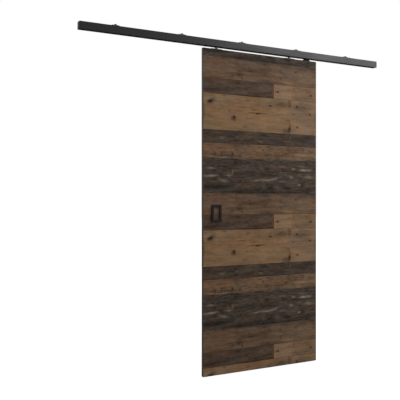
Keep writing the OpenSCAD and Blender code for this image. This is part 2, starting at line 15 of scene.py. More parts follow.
import bpy
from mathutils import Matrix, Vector


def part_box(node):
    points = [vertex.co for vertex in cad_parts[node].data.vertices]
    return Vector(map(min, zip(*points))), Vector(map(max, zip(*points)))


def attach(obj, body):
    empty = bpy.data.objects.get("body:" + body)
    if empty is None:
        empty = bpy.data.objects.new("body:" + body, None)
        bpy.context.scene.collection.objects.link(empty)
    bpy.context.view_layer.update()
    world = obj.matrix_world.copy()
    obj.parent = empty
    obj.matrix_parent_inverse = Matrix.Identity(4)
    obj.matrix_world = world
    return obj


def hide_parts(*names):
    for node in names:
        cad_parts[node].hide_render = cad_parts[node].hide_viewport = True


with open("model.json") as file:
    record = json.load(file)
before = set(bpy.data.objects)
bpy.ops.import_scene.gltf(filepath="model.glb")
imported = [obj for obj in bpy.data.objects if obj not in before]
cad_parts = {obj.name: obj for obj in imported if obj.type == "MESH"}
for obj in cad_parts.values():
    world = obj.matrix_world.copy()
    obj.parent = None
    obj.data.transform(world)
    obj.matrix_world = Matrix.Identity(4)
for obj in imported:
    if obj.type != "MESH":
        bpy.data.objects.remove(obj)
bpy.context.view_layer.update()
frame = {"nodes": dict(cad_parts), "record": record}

LOG = logging.getLogger("sliding_door")
MM = 0.001
# How far a cutting tool or a joined bar reaches past a face
OVERLAP = 0.001
# Distances below this count as none
TOUCH = 0.00001
# A face looks along an axis if at least this share of its normal does
FACING = 0.9
# Corners that are nearer than this are one corner in a copied mesh
MERGE = 0.000002

Piece = bpy.types.Object
Material = bpy.types.Material
Socket = bpy.types.NodeSocket
Test = Callable[[Vector, Vector], bool]
Point = Union[Vector, tuple[float, float, float]]
Feed = Union[Socket, float, tuple]
Colour = tuple[float, float, float, float]


def swatch(*levels: int) -> Colour:
    """Turns a display colour into the linear one that shaders use.

    Args:
        *levels: Levels of red, green and blue, 0 to 255.

    Returns:
        The linear colour, opaque.
    """
    shares = [level / 255 for level in levels]
    linear = [share / 12.92 if share <= 0.04045 else ((share + 0.055) / 1.055) ** 2.4 for share in shares]
    return *linear, 1.0


class NodeBoard:
    """A node tree, with a short call for each kind of node that the finishes and the studio use."""

    def __init__(self, tree: bpy.types.NodeTree) -> None:
        """Takes up a tree."""
        self.tree = tree

    def add(self, kind: str, values: Union[tuple, dict] = (), **settings: object) -> bpy.types.NodeOutputs:
        """Adds a node and feeds it.

        Args:
            kind: Blender's name for the kind of node.
            values: What to feed, in the order of its sockets, or by their names or numbers.
            **settings: Properties to set on it.

        Returns:
            Its outputs.
        """
        node = self.tree.nodes.new(kind)
        for key, value in settings.items():
            setattr(node, key, value)
        self.feed(node, values)
        return node.outputs

    def feed(self, node: bpy.types.Node, values: Union[tuple, dict]) -> None:
        """Links a node's sockets to other sockets, or sets them to values.

        Args:
            node: The node.
            values: What to feed, in the order of its sockets, or by their names or numbers.
        """
        for key, value in values.items() if isinstance(values, dict) else enumerate(values):
            if isinstance(value, Socket):
                self.tree.links.new(value, node.inputs[key])
            else:
                node.inputs[key].default_value = value

    def maths(self, operation: str, *values: Feed) -> Socket:
        """Does arithmetic on one to three values."""
        return self.add("ShaderNodeMath", values, operation=operation)[0]

    def span(self, value: Feed, low: float, high: float, start: float = 0.0, end: float = 1.0) -> Socket:
        """Runs smoothly from start to end while value goes from low to high.

        Args:
            value: What to read.
            low: Value at the start of the run.
            high: Value at its end, which may be the lower one.
            start: Result at low.
            end: Result at high.

        Returns:
            The result.
        """
        if low > high:
            low, high, start, end = high, low, end, start
        run = (value, low, high, start, end)
        return self.add("ShaderNodeMapRange", run, interpolation_type="SMOOTHSTEP")[0]

    def vector(self, x: Feed, y: Feed, z: Feed) -> Socket:
        """Joins three values into a vector."""
        return self.add("ShaderNodeCombineXYZ", (x, y, z))[0]

    def parts(self, vector: Feed) -> list[Socket]:
        """Splits a vector or a colour into its three values."""
        return list(self.add("ShaderNodeSeparateXYZ", (vector,)))

    def stretch(self, vector: Feed, size: Point, middle: Point = (0, 0, 0)) -> Socket:
        """Measures a place in units of a size along each axis, from a middle point."""
        return self.add("ShaderNodeMapping", (vector, middle, (0, 0, 0), size), vector_type="TEXTURE")[0]

    def vector_maths(self, operation: str, *values: Feed) -> Socket:
        """Does arithmetic on one or two vectors."""
        outputs = self.add("ShaderNodeVectorMath", values, operation=operation)
        return outputs["Value" if operation in ("LENGTH", "DOT_PRODUCT") else "Vector"]

    def reach(self, place: Feed, middle: Point, half: tuple[float, float], tilt: float) -> Socket:
        """Measures how far out a place lies in an ellipse, from 0 in its middle to 1 on its edge.

        Args:
            place: The place.
            middle: Middle of the ellipse.
            half: Its half sizes.
            tilt: Angle of its first axis, in radians.

        Returns:
            The measure.
        """
        away = self.vector_maths("SUBTRACT", place, middle)
        if tilt:
            cosine, sine = math.cos(tilt), math.sin(tilt)
            along = self.vector_maths("DOT_PRODUCT", away, (cosine / half[0], sine / half[0], 0.0))
            aside = self.vector_maths("DOT_PRODUCT", away, (-sine / half[1], cosine / half[1], 0.0))
            return self.vector_maths("LENGTH", self.vector(along, aside, 0.0))
        return self.vector_maths("LENGTH", self.vector_maths("DIVIDE", away, (half[0], half[1], 1.0)))

    def noise(self, vector: Feed, scale: float = 1.0, detail: float = 3.0,
              rough: float = 0.55) -> bpy.types.NodeOutputs:
        """Adds cloudy noise; its first output is a value about one half, its second a colour."""
        values = {"Vector": vector, "Scale": scale, "Detail": detail, "Roughness": rough}
        return self.add("ShaderNodeTexNoise", values)

    def shake(self, value: Feed, noise: Feed, reach: float) -> Socket:
        """Shifts a value by noise, by up to half of reach either way."""
        return self.maths("MULTIPLY_ADD", noise, reach, self.maths("ADD", value, -reach / 2))

    def mix(self, share: Feed, first: Feed, second: Feed, blend: str = "MIX") -> Socket:
        """Mixes a share, 0 to 1, of a second colour into a first one, in one of Blender's ways."""
        values = {0: share, 6: first, 7: second}
        return self.add("ShaderNodeMix", values, data_type="RGBA", blend_type=blend)[2]

    def seen(self) -> Socket:
        """Finds out if a ray is the camera's own, or one in gloss or glass, or only gives light.

        Returns:
            1 for a ray that shows something and 0 for one that only gives light.
        """
        path = self.add("ShaderNodeLightPath")
        mirrored = self.maths("MAXIMUM", path["Is Glossy Ray"], path["Is Transmission Ray"])
        return self.maths("MAXIMUM", path["Is Camera Ray"], mirrored)


class FinishBoard(NodeBoard):
    """A material's nodes, from the place on the piece to the shader."""

    def __init__(self, name: str) -> None:
        """Starts a material.

        Args:
            name: Name of the material.
        """
        self.material = bpy.data.materials.new(name)
        self.material.use_nodes = True
        super().__init__(self.material.node_tree)
        self.shader = self.tree.nodes["Principled BSDF"]
        self.place = self.add("ShaderNodeTexCoord")["Object"]

    def patches(self, size: Point, detail: float) -> Socket:
        """Draws noise in patches of a size, with values about one half."""
        return self.noise(self.stretch(self.place, size), detail=detail)[0]

    def finish(self, colour: Feed, rough: Feed, height: Feed, depth: float, metal: float = 0.0,
               specular: float = 0.5) -> Material:
        """Feeds the shader.

        Args:
            colour: Base colour.
            rough: Roughness.
            height: Relief of the surface, 0 to 1.
            depth: Depth of that relief.
            metal: 1 for bare metal.
            specular: Level of the reflection.

        Returns:
            The finished material.
        """
        bump = self.add("ShaderNodeBump", {"Strength": 1.0, "Distance": depth, "Height": height})[0]
        self.feed(self.shader, {"Base Color": colour, "Roughness": rough, "Normal": bump,
                                "Metallic": metal, "Specular IOR Level": specular})
        return self.material


@dataclass(frozen=True)
class CoatedMetal:
    """Powder coat or lacquer over metal, with the fine peel of a sprayed coat."""

    name: str
    colour: Colour
    rough: float
    peel: float = 0.0011
    depth: float = 0.00003
    specular: float = 0.4
    dry_below: float = 0.0
    cloud: Point = (0.21, 0.04, 0.04)
    lift: float = 1.5
    swing: float = 0.04

    def material(self) -> Material:
        """Builds the coat, which can be drier on the faces that look down.

        Returns:
            The material.
        """
        board = FinishBoard(self.name)
        peel = board.patches((self.peel,) * 3, 2.0)
        cloud = board.patches(self.cloud, 4.0)
        lighter = tuple(min(1.0, self.lift * level) for level in self.colour[:3]) + (1.0,)
        colour = board.mix(board.span(cloud, 0.35, 0.7), self.colour, lighter)
        rough = board.span(cloud, 0.3, 0.7, self.rough - self.swing, self.rough + self.swing)
        if self.dry_below:
            facing = board.parts(board.add("ShaderNodeNewGeometry")["Normal"])[2]
            rough = board.maths("ADD", rough, board.span(facing, -0.4, -0.9, 0.0, self.dry_below))
        return board.finish(colour, rough, peel, self.depth, specular=self.specular)


@dataclass(frozen=True)
class BareMetal:
    """Plated, blackened or turned steel, with hair lines and faint clouds in the plating."""

    name: str
    colour: Colour
    shade: Colour
    rough: float
    lines: Point = (0.0003, 0.006, 0.006)
    cloud: float = 0.009
    depth: float = 0.00001

    def material(self) -> Material:
        """Builds the metal.

        Returns:
            The material.
        """
        board = FinishBoard(self.name)
        hair = board.patches(self.lines, 3.0)
        cloud = board.patches((self.cloud,) * 3, 4.0)
        colour = board.mix(board.span(cloud, 0.35, 0.7), self.colour, self.shade)
        rough = board.span(hair, 0.25, 0.75, self.rough - 0.08, self.rough + 0.1)
        return board.finish(colour, rough, hair, self.depth, metal=1.0)


@dataclass(frozen=True)
class CastMetal:
    """Die-cast zinc: a dull grey skin with a fine sand grain."""

    name: str
    colour: Colour
    shade: Colour
    rough: float
    grain: float = 0.0006
    cloud: float = 0.012
    depth: float = 0.00006
    metal: float = 0.8
    swing: float = 0.07

    def material(self) -> Material:
        """Builds the cast skin.

        Returns:
            The material.
        """
        board = FinishBoard(self.name)
        sand = board.patches((self.grain,) * 3, 3.0)
        cloud = board.patches((self.cloud,) * 3, 4.0)
        colour = board.mix(board.span(cloud, 0.3, 0.7), self.colour, self.shade)
        rough = board.span(sand, 0.3, 0.7, self.rough - self.swing, self.rough + self.swing)
        return board.finish(colour, rough, sand, self.depth, self.metal)


@dataclass(frozen=True)
class Moulding:
    """Moulded plastic, nylon or rubber with an eroded grain."""

    name: str
    colour: Colour
    rough: float
    grain: float = 0.0008
    depth: float = 0.00005
    specular: float = 0.35
    cloud: float = 0.02
    lift: float = 1.35
    haze: float = 0.002
    swing: float = 0.06

    def material(self) -> Material:
        """Builds the moulded skin.

        Returns:
            The material.
        """
        board = FinishBoard(self.name)
        grain = board.patches((self.grain,) * 3, 2.0)
        cloud = board.patches((self.cloud,) * 3, 3.0)
        paler = tuple(min(1.0, self.lift * level + self.haze) for level in self.colour[:3]) + (1.0,)
        colour = board.mix(board.span(cloud, 0.35, 0.7), self.colour, paler)
        rough = board.span(grain, 0.3, 0.7, self.rough - self.swing, self.rough + self.swing)
        return board.finish(colour, rough, grain, self.depth, specular=self.specular)


@dataclass(frozen=True)
class EdgeTape:
    """Dark brown plastic edging with a fine grain along the edge."""

    name: str
    colour: Colour
    shade: Colour
    rough: tuple[float, float] = (0.5, 0.64)
    grain: Point = (0.06, 0.0006, 0.06)
    depth: float = 0.00005
    specular: float = 0.15

    def material(self) -> Material:
        """Builds the edging.

        Returns:
            The material.
        """
        board = FinishBoard(self.name)
        grain = board.patches(self.grain, 4.0)
        colour = board.mix(board.span(grain, 0.3, 0.7), self.colour, self.shade)
        rough = board.span(grain, 0.3, 0.7, *self.rough)
        return board.finish(colour, rough, grain, self.depth, specular=self.specular)


class MarkKind(Enum):
    """Kinds of mark on the print, in the order that they are laid on.

    Each has its colour, the start of its fading edge, its evenness and the size of its dark core.
    """

    RUST = (swatch(98, 60, 38), 0.0, 0.5, 0.0)
    PALE = (swatch(140, 114, 85), 0.0, 0.5, 0.0)
    STAIN = (swatch(40, 34, 29), 0.0, 0.6, 0.0)
    DUSK = (swatch(20, 20, 20), 0.0, 0.55, 0.0)
    WISP = (swatch(122, 111, 96), 0.0, 0.2, 0.0)
    WORN = (swatch(150, 139, 122), 0.15, 0.3, 0.0)
    CRACK = (swatch(52, 33, 22), 0.2, 0.85, 0.3)
    KNOT = (swatch(50, 38, 28), 0.2, 0.8, 0.5)
    NAIL = (swatch(52, 39, 29), 0.2, 0.9, 0.5)


@dataclass(frozen=True)
class Mark:
    """One mark on the print, placed in its repeat: middle, half sizes, strength and tilt."""

    across: float
    down: float
    half_w: float
    half_h: float
    strength: float = 0.8
    tilt: float = 0.0


@dataclass(frozen=True)
class Plank:
    """One plank of a row, from its left end to the next plank's."""

    left: float
    tone: Colour
    contrast: float
    seed: float
    age: float

    def traits(self) -> Colour:
        """Packs the seed, the contrast and the age into a colour."""
        return self.seed, self.contrast, self.age, 1.0


@dataclass(frozen=True)
class PlankPrint:
    """Melamine print of worn planks laid across the leaf, repeated down its height.

    A row has the distance of its upper edge below the start of the repeat, and its planks. A layer
    of grain has its length along the planks, its width and its detail, and its weight in the tone.
    """

    name: str
    leaf_left: float
    leaf_top: float
    first_seam: float = 45.0
    repeat: float = 853.0
    sway: tuple[float, float] = (6.0, 4.0)
    sway_scale: float = 0.012
    tear: tuple[float, float] = (16.0, 10.0)
    tear_scale: float = 0.04
    blur: float = 0.7
    row_blur: float = 0.8
    plank_shift: float = 90.0
    layer_shift: float = 37.0
    mean_gain: float = 1.02
    least_gain: float = 0.3
    rings: float = 21.0
    relief: float = 0.00018
    specular: float = 0.045
    seam_tone: Colour = swatch(30, 26, 23)
    fleck_tone: Colour = swatch(28, 24, 21)
    wear_tone: Colour = swatch(118, 107, 93)
    heart_tone: Colour = swatch(33, 24, 18)
    cool: Colour = (0.93, 1.0, 1.08, 1.0)
    warm: Colour = (1.08, 0.99, 0.9, 1.0)
    layers: ClassVar[dict[str, tuple[float, float, float]]] = {
        "cloud": (170, 50, 3.0), "figure": (260, 13, 3.0), "streak": (120, 6, 5.0),
        "mottle": (48, 18, 3.0), "fine": (60, 1.1, 4.0), "pore": (15, 0.7, 2.0), "saw": (6, 60, 2.0),
        "fleck": (40, 9, 3.0), "wear": (100, 16, 4.0), "hue": (160, 60, 3.0), "tatter": (46, 11, 4.0),
    }
    weights: ClassVar[dict[str, float]] = {
        "cloud": 1.8, "figure": 1.2, "streak": 0.7, "mottle": 1.4, "fine": 1.8, "saw": 0.3,
    }
    rows: tuple[tuple[float, tuple[Plank, ...]], ...] = (
        (0.0, (Plank(0, swatch(93, 74, 58), 0.75, 0.05, 0.4),)),
        (136.0, (Plank(0, swatch(71, 57, 46), 0.9, 0.15, 0.6),
                 Plank(531, swatch(121, 97, 75), 0.6, 0.25, 0.1),
                 Plank(676, swatch(114, 90, 68), 0.6, 0.33, 0.15))),
        (231.0, (Plank(0, swatch(117, 92, 68), 0.55, 0.42, 0.1),
                 Plank(664, swatch(115, 93, 72), 0.5, 0.52, 0.1))),
        (458.0, (Plank(0, swatch(64, 54, 45), 1.0, 0.61, 0.8),
                 Plank(664, swatch(65, 56, 49), 0.9, 0.69, 0.6))),
        (539.0, (Plank(0, swatch(99, 78, 60), 0.8, 0.78, 0.5),)),
        (634.0, (Plank(0, swatch(66, 56, 48), 1.1, 0.87, 1.0),)),
    )
    marks: tuple[tuple[MarkKind, tuple[Mark, ...]], ...] = (
        (MarkKind.RUST, (
            Mark(90, 36, 120, 26, 0.45), Mark(70, 66, 60, 9, 0.45), Mark(80, 148, 150, 12, 0.45),
            Mark(523, 182, 12, 60, 1.0), Mark(285, 305, 48, 10, 0.8), Mark(370, 315, 32, 9, 0.85),
            Mark(193, 333, 14, 18, 0.7), Mark(100, 320, 110, 8, 0.55), Mark(120, 560, 170, 22, 0.5),
            Mark(110, 573, 100, 7, 0.7), Mark(560, 682, 100, 22, 0.35),
        )),
        (MarkKind.PALE, (
            Mark(640, 118, 130, 18, 0.4), Mark(760, 80, 150, 60, 0.2), Mark(610, 160, 60, 26, 0.25),
            Mark(120, 400, 120, 40, 0.2), Mark(450, 420, 130, 34, 0.2), Mark(663, 484, 6, 24, 0.45),
            Mark(760, 597, 100, 7, 0.9, 0.05),
        )),
        (MarkKind.STAIN, (
            Mark(440, 0, 480, 12, 0.4), Mark(212, 106, 36, 28, 0.75), Mark(262, 98, 40, 30, 0.9),
            Mark(500, 42, 26, 11, 0.65), Mark(585, 52, 14, 18, 0.6), Mark(708, 41, 20, 12, 0.65),
            Mark(586, 101, 14, 9, 0.5), Mark(430, 70, 170, 60, 0.25), Mark(840, 8, 70, 20, 0.7),
            Mark(316, 190, 24, 12, 0.6), Mark(553, 186, 26, 11, 0.5), Mark(828, 194, 26, 18, 0.4),
            Mark(692, 152, 16, 20, 0.35), Mark(800, 214, 40, 9, 0.4), Mark(58, 278, 58, 30, 0.65, -0.3),
            Mark(156, 240, 36, 9, 0.5), Mark(330, 258, 30, 12, 0.6, -0.15), Mark(486, 304, 22, 8, 0.5),
            Mark(600, 270, 100, 28, 0.55), Mark(656, 264, 26, 50, 0.75), Mark(628, 438, 60, 30, 0.65),
            Mark(300, 430, 20, 7, 0.4), Mark(2, 350, 16, 120, 0.6), Mark(766, 272, 120, 40, 0.42),
            Mark(816, 318, 40, 20, 0.35), Mark(876, 340, 16, 110, 0.5), Mark(170, 616, 140, 14, 0.55),
            Mark(840, 572, 50, 24, 0.4),
        )),
        (MarkKind.DUSK, (
            Mark(80, 204, 130, 30, 0.55, -0.05), Mark(330, 228, 240, 6, 0.7),
            Mark(450, 474, 66, 16, 0.85), Mark(240, 519, 34, 10, 0.75), Mark(780, 488, 130, 26, 0.35),
            Mark(440, 537, 440, 5, 0.5), Mark(132, 744, 22, 20, 0.7), Mark(764, 784, 34, 16, 0.75),
            Mark(716, 706, 22, 16, 0.6), Mark(470, 652, 90, 14, 0.45), Mark(80, 816, 170, 40, 1.0),
            Mark(60, 668, 60, 22, 0.35), Mark(440, 846, 480, 30, 0.8), Mark(640, 820, 90, 26, 0.7),
            Mark(800, 830, 110, 22, 0.75),
        )),
        (MarkKind.WISP, (
            Mark(450, 170, 90, 34, 0.3), Mark(130, 508, 40, 12, 0.4), Mark(244, 497, 30, 8, 0.45),
            Mark(428, 518, 30, 9, 0.8), Mark(60, 627, 60, 9, 0.4), Mark(150, 631, 56, 11, 0.6, -0.12),
            Mark(40, 697, 56, 14, 0.75), Mark(140, 772, 56, 16, 0.6, 0.3), Mark(212, 714, 12, 30, 0.6),
            Mark(440, 768, 130, 11, 0.7, -0.05), Mark(556, 812, 50, 16, 0.35),
            Mark(690, 690, 28, 14, 0.9), Mark(660, 748, 46, 15, 0.9), Mark(815, 744, 80, 20, 0.72),
        )),
        (MarkKind.WORN, (
            Mark(50, 745, 76, 11, 0.6, -0.06), Mark(185, 741, 36, 9, 0.42),
            Mark(510, 762, 70, 10, 0.5, -0.16), Mark(790, 697, 80, 12, 0.75),
            Mark(734, 799, 22, 12, 0.4),
        )),
        (MarkKind.CRACK, (
            Mark(222, 380, 32, 28, 0.6), Mark(403, 338, 28, 11, 0.95), Mark(415, 336, 110, 7, 0.7),
        )),
        (MarkKind.KNOT, (
            Mark(285, 118, 16, 12, 0.45), Mark(254, 153, 25, 15, 0.8),
            Mark(178, 189, 22, 8, 0.7, -0.35), Mark(50, 281, 38, 18, 0.9, -0.35),
            Mark(225, 370, 20, 18, 0.9), Mark(655, 430, 20, 48, 0.75, 0.25), Mark(85, 610, 14, 18, 0.5),
            Mark(130, 604, 10, 20, 0.45), Mark(212, 606, 14, 22, 0.6), Mark(268, 614, 14, 16, 0.55),
            Mark(420, 556, 20, 8, 0.6), Mark(446, 574, 10, 14, 0.5), Mark(486, 551, 30, 8, 0.5),
            Mark(627, 590, 16, 11, 0.7),
        )),
        (MarkKind.NAIL, (
            Mark(563, 184, 15, 10, 0.75), Mark(835, 187, 15, 10, 0.7), Mark(503, 281, 26, 10, 0.7),
            Mark(718, 272, 17, 11, 0.8), Mark(828, 318, 15, 12, 0.8), Mark(692, 327, 12, 9, 0.5),
            Mark(722, 410, 17, 10, 0.75),
        )),
    )

    def material(self) -> Material:
        """Builds the print: rows of planks, their grain, the marks on them and the seams between.

        Returns:
            The material.
        """
        board = FinishBoard(self.name)
        x, _, z = board.parts(board.place)
        across = board.maths("MULTIPLY_ADD", x, 1 / MM, -self.leaf_left / MM)
        down = board.maths("MULTIPLY_ADD", z, -1 / MM, self.leaf_top / MM - self.first_seam)
        drawn_out = board.vector(across, board.maths("MULTIPLY", down, 0.3), 0.0)
        sway_x, sway_z, _ = board.parts(board.noise(drawn_out, self.sway_scale, 4.0, 0.6)[1])
        across = board.shake(across, sway_x, self.sway[0])
        down = board.maths("FLOORED_MODULO", board.shake(down, sway_z, self.sway[1]), self.repeat)
        torn = board.parts(board.noise(board.vector(across, down, 4.0), self.tear_scale)[1])
        place = board.vector(board.shake(across, torn[0], self.tear[0]),
                             board.shake(down, torn[1], self.tear[1]), 0.0)
        tone, traits, seams = self.lay_rows(board, across, down)
        seed, contrast, age = board.parts(traits)
        grain = self.draw_grain(board, across, down, seed)
        tone = self.tint(board, tone, contrast, grain)
        tone = self.weather(board, tone, age, grain)
        tone = self.draw_marks(board, tone, place, grain)
        broken = board.span(grain["streak"], 0.3, 0.6, 0.35, 0.75)
        tone = board.mix(board.maths("MULTIPLY", seams, broken), tone, self.seam_tone)
        rough = board.span(grain["fine"], 0.3, 0.7, 0.52, 0.7)
        return board.finish(tone, rough, grain["relief"], self.relief, specular=self.specular)

    def lay_rows(self, board: FinishBoard, across: Feed, down: Feed) -> tuple[Feed, Feed, Feed]:
        """Paints each plank's tone over the rows above it.

        Args:
            board: The material's nodes.
            across: Distance from the leaf's left edge.
            down: Distance below the start of the repeat.

        Returns:
            The tone, the traits and how near the place is to a seam.
        """
        first = self.rows[0][1][0]
        tone: Feed = first.tone
        traits: Feed = first.traits()
        seams: Feed = board.span(down, 0.5, 2.2, 0.8, 0.0)
        for top, (left, *others) in self.rows[1:]:
            row_tone: Feed = left.tone
            row_traits: Feed = left.traits()
            away = board.maths("ABSOLUTE", board.maths("SUBTRACT", down, top))
            for plank in others:
                past = board.span(across, plank.left - self.blur, plank.left + self.blur)
                row_tone = board.mix(past, row_tone, plank.tone)
                row_traits = board.mix(past, row_traits, plank.traits())
            below = board.span(down, top - self.row_blur, top + self.row_blur)
            tone = board.mix(below, tone, row_tone)
            traits = board.mix(below, traits, row_traits)
            seams = board.maths("MAXIMUM", seams, board.span(away, 2.0, 0.5))
        return tone, traits, seams

    def draw_grain(self, board: FinishBoard, across: Feed, down: Feed, seed: Feed) -> dict[str, Feed]:
        """Draws the grain along the planks, shifted from plank to plank by its seed.

        Args:
            board: The material's nodes.
            across: Distance from the leaf's left edge.
            down: Distance below the start of the repeat.
            seed: The plank's own shift.

        Returns:
            Values about one half, by the name of the layer.
        """
        shifted = board.vector(across, down, board.maths("MULTIPLY", seed, self.plank_shift))
        grain = {}
        for key, (long, wide, detail) in self.layers.items():
            spot = board.stretch(shifted, (long, wide, 1), (self.layer_shift * len(grain), 0, 0))
            grain[key] = board.noise(spot, 1.0, detail, 0.6)[0]
        half = board.maths("MULTIPLY", grain["fine"], 0.6)
        grain["relief"] = board.maths("MULTIPLY_ADD", grain["streak"], 0.4, half)
        return grain

    def tint(self, board: FinishBoard, tone: Feed, contrast: Feed, grain: dict[str, Feed]) -> Feed:
        """Shades a plank's tone by its grain.

        Args:
            board: The material's nodes.
            tone: The planks' tones.
            contrast: How strongly each plank's grain shows.
            grain: The grain's values.

        Returns:
            The shaded tone.
        """
        swing: Feed = -sum(self.weights.values()) / 2
        for key, weight in self.weights.items():
            swing = board.maths("MULTIPLY_ADD", grain[key], weight, swing)
        gain = board.maths("MULTIPLY_ADD", swing, contrast, self.mean_gain)
        gain = board.maths("MAXIMUM", gain, self.least_gain)
        gain = board.maths("MULTIPLY", gain, board.span(grain["pore"], 0.6, 0.7, 1.0, 0.7))
        warm = board.mix(board.span(grain["hue"], 0.3, 0.7), self.cool, self.warm)
        tinted = board.mix(1.0, tone, warm, "MULTIPLY")
        return board.mix(1.0, tinted, board.vector(gain, gain, gain), "MULTIPLY")

    def weather(self, board: FinishBoard, tone: Feed, age: Feed, grain: dict[str, Feed]) -> Feed:
        """Breaks the older planks up with dark flecks and pale worn spots.

        Args:
            board: The material's nodes.
            tone: The colour so far.
            age: How old each plank looks, 0 to 1.
            grain: The grain's values.

        Returns:
            The weathered colour.
        """
        dark = board.maths("MULTIPLY", board.span(grain["fleck"], 0.52, 0.66, 0.0, 0.75), age)
        tone = board.mix(dark, tone, self.fleck_tone)
        worn = board.maths("MULTIPLY", board.maths("MULTIPLY", age, age), age)
        pale = board.maths("MULTIPLY", board.span(grain["wear"], 0.56, 0.72, 0.0, 0.4), worn)
        return board.mix(pale, tone, self.wear_tone)

    def draw_marks(self, board: FinishBoard, tone: Feed, place: Feed, grain: dict[str, Feed]) -> Feed:
        """Lays the knots, nails, stains and worn streaks over the planks.

        Args:
            board: The material's nodes.
            tone: The colour so far.
            place: Place in the repeat, in millimetres.
            grain: The grain's values.

        Returns:
            The colour with its marks.
        """
        for kind, marks in self.marks:
            colour, edge, even, core = kind.value
            share: Feed = 0.0
            heart: Feed = 0.0
            for mark in marks:
                middle, half = (mark.across, mark.down, 0.0), (mark.half_w, mark.half_h)
                reach = board.reach(place, middle, half, mark.tilt)
                share = board.maths("MAXIMUM", share, board.span(reach, 1.0, edge, 0.0, mark.strength))
                if core:
                    wave = board.maths("SINE", board.maths("MULTIPLY", reach, self.rings))
                    ring = board.maths("MULTIPLY_ADD", wave, 0.1, 0.9)
                    depth = board.span(reach, core, core / 2, 0.0, mark.strength)
                    heart = board.maths("MAXIMUM", heart, board.maths("MULTIPLY", depth, ring))
            broken = board.span(grain["tatter"], 0.34, 0.6, even, 1.0)
            tone = board.mix(board.maths("MULTIPLY", share, broken), tone, colour)
            if core:
                tone = board.mix(heart, tone, self.heart_tone)
        return tone


@dataclass
class Finishes:
    """All the finishes, by the record's material slot."""

    leaf_left: float
    leaf_top: float

    def build(self) -> dict[str, Material]:
        """Builds each slot's material.

        Returns:
            The materials by slot name.
        """
        finishes = {
            "track_black": CoatedMetal("satin black coat", swatch(15, 15, 16), 0.4, specular=0.17,
                                       dry_below=0.6),
            "bracket_black": CoatedMetal("black coat on sheet", swatch(26, 26, 27), 0.5),
            "pull_black": CoatedMetal("black lacquer", swatch(9, 9, 9), 0.5, specular=0.12),
            "black_plastic": Moulding("black moulding", swatch(8, 8, 8), 0.6, specular=0.04),
            "dark_steel": BareMetal("blackened steel", swatch(78, 77, 76), swatch(58, 58, 60), 0.42),
            "zinc_steel": BareMetal("zinc plate", swatch(196, 198, 202), swatch(170, 172, 180), 0.3),
            "bearing_steel": BareMetal("bearing steel", swatch(206, 208, 210), swatch(186, 188, 192), 0.2),
            "zinc_casting": CastMetal("zinc casting", swatch(150, 152, 156), swatch(122, 124, 129), 0.45),
            "printed_board": PlankPrint("worn plank print", self.leaf_left, self.leaf_top),
            "edge_band": EdgeTape("brown edge tape", swatch(30, 25, 21), swatch(23, 19, 16)),
            "wheel_nylon": Moulding("dark nylon", swatch(58, 58, 60), 0.42, grain=0.0005,
                                    depth=0.00002),
            "buffer_rubber": Moulding("black rubber", swatch(24, 24, 24), 0.72, grain=0.0005,
                                      depth=0.00006),
        }
        return {slot: finish.material() for slot, finish in finishes.items()}


class Join(Enum):
    """How two meshes are put together."""

    UNITE = "UNION"
    CUT = "DIFFERENCE"
    SHARE = "INTERSECT"


